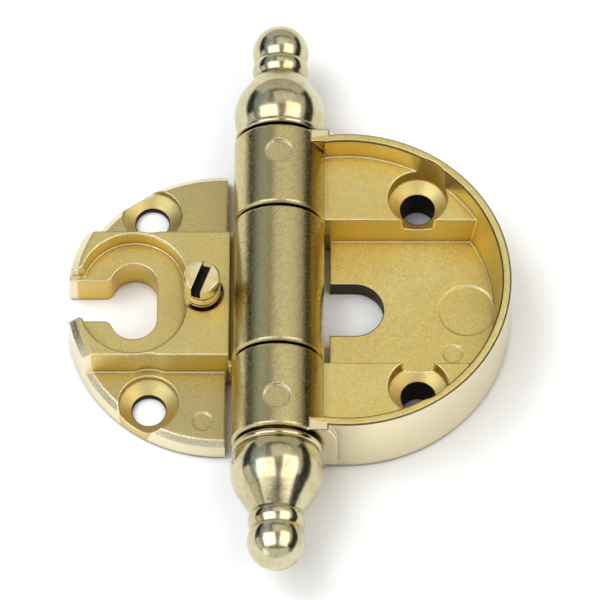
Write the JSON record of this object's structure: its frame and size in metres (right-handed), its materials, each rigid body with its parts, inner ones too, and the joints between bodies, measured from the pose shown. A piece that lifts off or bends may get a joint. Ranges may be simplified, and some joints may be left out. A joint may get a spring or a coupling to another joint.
{
  "type": "furniture hinge",
  "caption": "Cast furniture hinge with a half-round cup wing, a half-round plate wing with a hook slot, a knuckled barrel on a pin, and vase-shaped end finials.",
  "frame": {"origin": "centre of the cup's 35 mm boring, on the plane of both wings' backs", "axes": "+X from the pin towards the cup's round edge, +Y along the pin, +Z from the backs up to the open faces"},
  "size_m": [0.0472, 0.0648, 0.0111],
  "materials": {
    "cast_brass": "pale brass plating on a casting",
    "turned_brass": "polished pale brass plating",
    "pin_steel": "drawn steel",
    "screw_brass": "bright pale brass plating"
  },
  "bodies": {
    "cup": {"cup_wing": "cast_brass", "hinge_pin": "pin_steel", "upper_finial": "turned_brass", "lower_finial": "turned_brass"},
    "plate": {"plate_wing": "cast_brass"},
    "screw": {"adjusting_screw": "screw_brass"}
  },
  "joints": [
    {"name": "wing_swing", "type": "hinge", "parent": "cup", "child": "plate", "pos_m": [-0.0072, 0, 0.00625], "axis": [0, 1, 0], "range_deg": [-75, 180]},
    {"name": "adjuster_turn", "type": "hinge", "parent": "plate", "child": "screw", "pos_m": [-0.0153, 0, 0], "axis": [0, 0, 1], "continuous": true}
  ]
}
